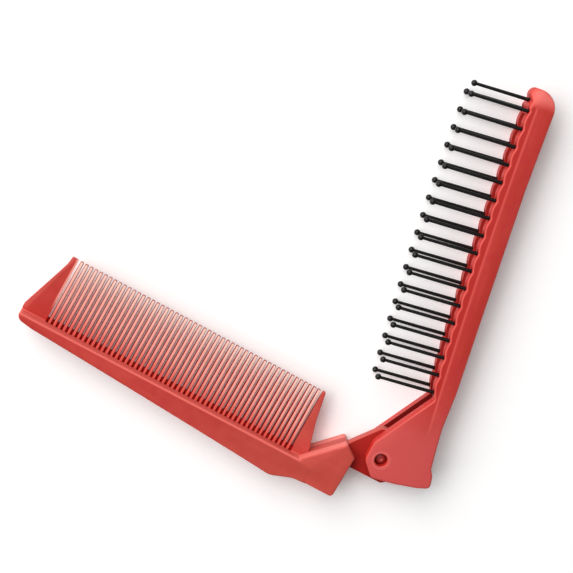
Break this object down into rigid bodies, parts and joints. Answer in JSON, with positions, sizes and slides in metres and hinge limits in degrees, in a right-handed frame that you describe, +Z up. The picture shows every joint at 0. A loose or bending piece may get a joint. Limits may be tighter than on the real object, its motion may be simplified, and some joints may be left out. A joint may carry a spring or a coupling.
{
  "type": "folding pocket comb",
  "caption": "Folding pocket comb: a fine-toothed comb arm hinged to a slotted arm that carries rows of ball-tipped pins.",
  "frame": {"origin": "middle of the bounding box, on the plane that the object lies on", "axes": "+Z up through the thickness and along the hinge axis; the comb arm runs from the hinge towards -X with its teeth towards +Y; the pin arm runs from the hinge towards +Y"},
  "size_m": [0.1124, 0.1172, 0.0099],
  "materials": {
    "coral_plastic": "glossy coral red",
    "black_nylon": "satin black"
  },
  "bodies": {
    "pin_arm": {"brush_arm": "coral_plastic", "hinge_pin": "coral_plastic", "pin_end": "black_nylon", "pin_near_01": "black_nylon", "pin_near_02": "black_nylon", "pin_near_03": "black_nylon", "pin_near_04": "black_nylon", "pin_near_05": "black_nylon", "pin_near_06": "black_nylon", "pin_near_07": "black_nylon", "pin_near_08": "black_nylon", "pin_near_09": "black_nylon", "pin_near_10": "black_nylon", "pin_near_11": "black_nylon", "pin_near_12": "black_nylon", "pin_near_13": "black_nylon", "pin_near_14": "black_nylon", "pin_near_15": "black_nylon", "pin_near_16": "black_nylon", "pin_near_17": "black_nylon", "pin_far_01": "black_nylon", "pin_far_02": "black_nylon", "pin_far_03": "black_nylon", "pin_far_04": "black_nylon", "pin_far_05": "black_nylon", "pin_far_06": "black_nylon", "pin_far_07": "black_nylon", "pin_far_08": "black_nylon", "pin_far_09": "black_nylon", "pin_far_10": "black_nylon", "pin_far_11": "black_nylon", "pin_far_12": "black_nylon", "pin_far_13": "black_nylon", "pin_far_14": "black_nylon", "pin_far_15": "black_nylon", "pin_far_16": "black_nylon", "pin_far_17": "black_nylon"},
    "comb": {"comb_arm": "coral_plastic"}
  },
  "joints": [
    {"name": "fold", "type": "hinge", "parent": "pin_arm", "child": "comb", "pos_m": [0.04152, -0.04157, 0.00495], "axis": [0, 0, 1], "range_deg": [-76.3, 102.7]}
  ]
}
